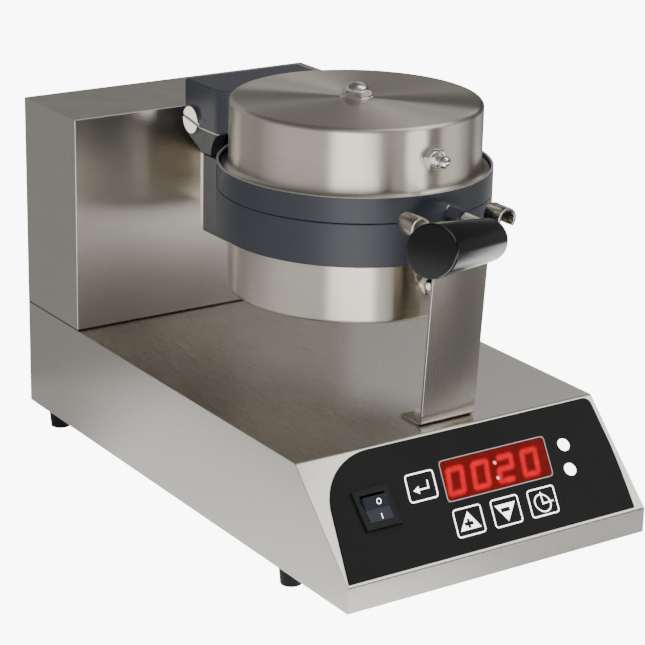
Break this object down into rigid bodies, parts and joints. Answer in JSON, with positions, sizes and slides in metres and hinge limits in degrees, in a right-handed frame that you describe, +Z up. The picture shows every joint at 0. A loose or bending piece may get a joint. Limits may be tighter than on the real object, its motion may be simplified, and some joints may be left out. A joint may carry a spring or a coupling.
{
  "type": "waffle cone maker",
  "caption": "Electric waffle cone baker: round hinged two-plate baking head on a steel housing with a sloped control panel and a rear tower.",
  "frame": {"origin": "centre of the housing's footprint, on the table that the rubber feet stand on", "axes": "+X to the right as the operator faces the control panel, +Y to the rear tower, +Z up"},
  "size_m": [0.254, 0.5253, 0.3132],
  "materials": {
    "housing_steel": "brushed",
    "cover_steel": "spun, circular brush marks",
    "strip_steel": "brushed",
    "bright_steel": "bright zinc or polished steel",
    "coated_casting": "dark blue-grey coated casting",
    "element_sheath": "oxidised tube",
    "insulation": "white fibre board",
    "bush_brass": "plain",
    "black_rubber": "matt",
    "grip_black": "glossy",
    "panel_black": "fine satin film",
    "switch_black": "satin",
    "window_red": "dark red filter",
    "lens_white": "milky",
    "board_green": "satin",
    "module_black": "matt",
    "core_grey": "varnished laminations",
    "relay_blue": "satin",
    "terminal_cream": "matt",
    "sleeve_cream": "woven glass sleeve"
  },
  "bodies": {
    "stand": {"housing": "housing_steel", "bottom_plate": "housing_steel", "bottom_screws": "bright_steel", "feet": "black_rubber", "foot_screws": "bright_steel", "tower_shell": "housing_steel", "tower_back": "housing_steel", "tower_back_screws": "bright_steel", "tower_screws": "bright_steel", "head_arm": "strip_steel", "arm_nuts": "bright_steel", "flange_screws": "bright_steel", "lead_sleeve": "sleeve_cream", "cord_inlet": "switch_black", "overlay": "panel_black", "display_window": "window_red", "display_module": "module_black", "panel_board": "board_green", "board_standoffs": "bright_steel", "key_switches": "module_black", "indicator_lenses": "lens_white", "rocker_housing": "switch_black", "power_board": "board_green", "transformer": "core_grey", "relay": "relay_blue", "terminal_block": "terminal_cream", "support_leg": "strip_steel", "leg_screws": "bright_steel", "lug_screws": "bright_steel", "lower_plate": "coated_casting", "lower_element": "element_sheath", "lower_clamp": "strip_steel", "lower_insulation": "insulation", "lower_stud": "bright_steel", "lower_cover": "cover_steel", "lower_cover_nut": "bright_steel", "lower_front_stud": "bright_steel", "lower_front_nuts": "bright_steel", "plate_probe": "bright_steel", "hinge_bushes": "bush_brass"},
    "lid": {"upper_plate": "coated_casting", "upper_element": "element_sheath", "upper_clamp": "strip_steel", "upper_insulation": "insulation", "upper_stud": "bright_steel", "upper_cover": "cover_steel", "upper_cover_nut": "bright_steel", "upper_front_stud": "bright_steel", "upper_front_nuts": "bright_steel", "handle_stem": "bright_steel", "stem_nut": "coated_casting", "handle_grip": "grip_black", "hinge_pin": "bright_steel", "pin_cap": "bright_steel"},
    "rocker": {"rocker_paddle": "switch_black"},
    "set_key": {"key_set": "panel_black"},
    "up_key": {"key_up": "panel_black"},
    "down_key": {"key_down": "panel_black"},
    "timer_key": {"key_timer": "panel_black"}
  },
  "joints": [
    {"name": "lid_hinge", "type": "hinge", "parent": "stand", "child": "lid", "pos_m": [0.0045, 0.1113, 0.2609], "axis": [-1, 0, 0], "range_deg": [0, 100]},
    {"name": "rocker_hinge", "type": "hinge", "parent": "stand", "child": "rocker", "pos_m": [-0.0828, -0.18909, 0.06325], "axis": [-1, 0, 0], "range_deg": [0, 16]},
    {"name": "set_press", "type": "slide", "parent": "stand", "child": "set_key", "axis": [0, 0.7071, -0.7071], "range_m": [0, 0.0008], "stiffness_N_per_m": 500, "springref_m": -0.0008},
    {"name": "up_press", "type": "slide", "parent": "stand", "child": "up_key", "axis": [0, 0.7071, -0.7071], "range_m": [0, 0.0008], "stiffness_N_per_m": 500, "springref_m": -0.0008},
    {"name": "down_press", "type": "slide", "parent": "stand", "child": "down_key", "axis": [0, 0.7071, -0.7071], "range_m": [0, 0.0008], "stiffness_N_per_m": 500, "springref_m": -0.0008},
    {"name": "timer_press", "type": "slide", "parent": "stand", "child": "timer_key", "axis": [0, 0.7071, -0.7071], "range_m": [0, 0.0008], "stiffness_N_per_m": 500, "springref_m": -0.0008}
  ]
}
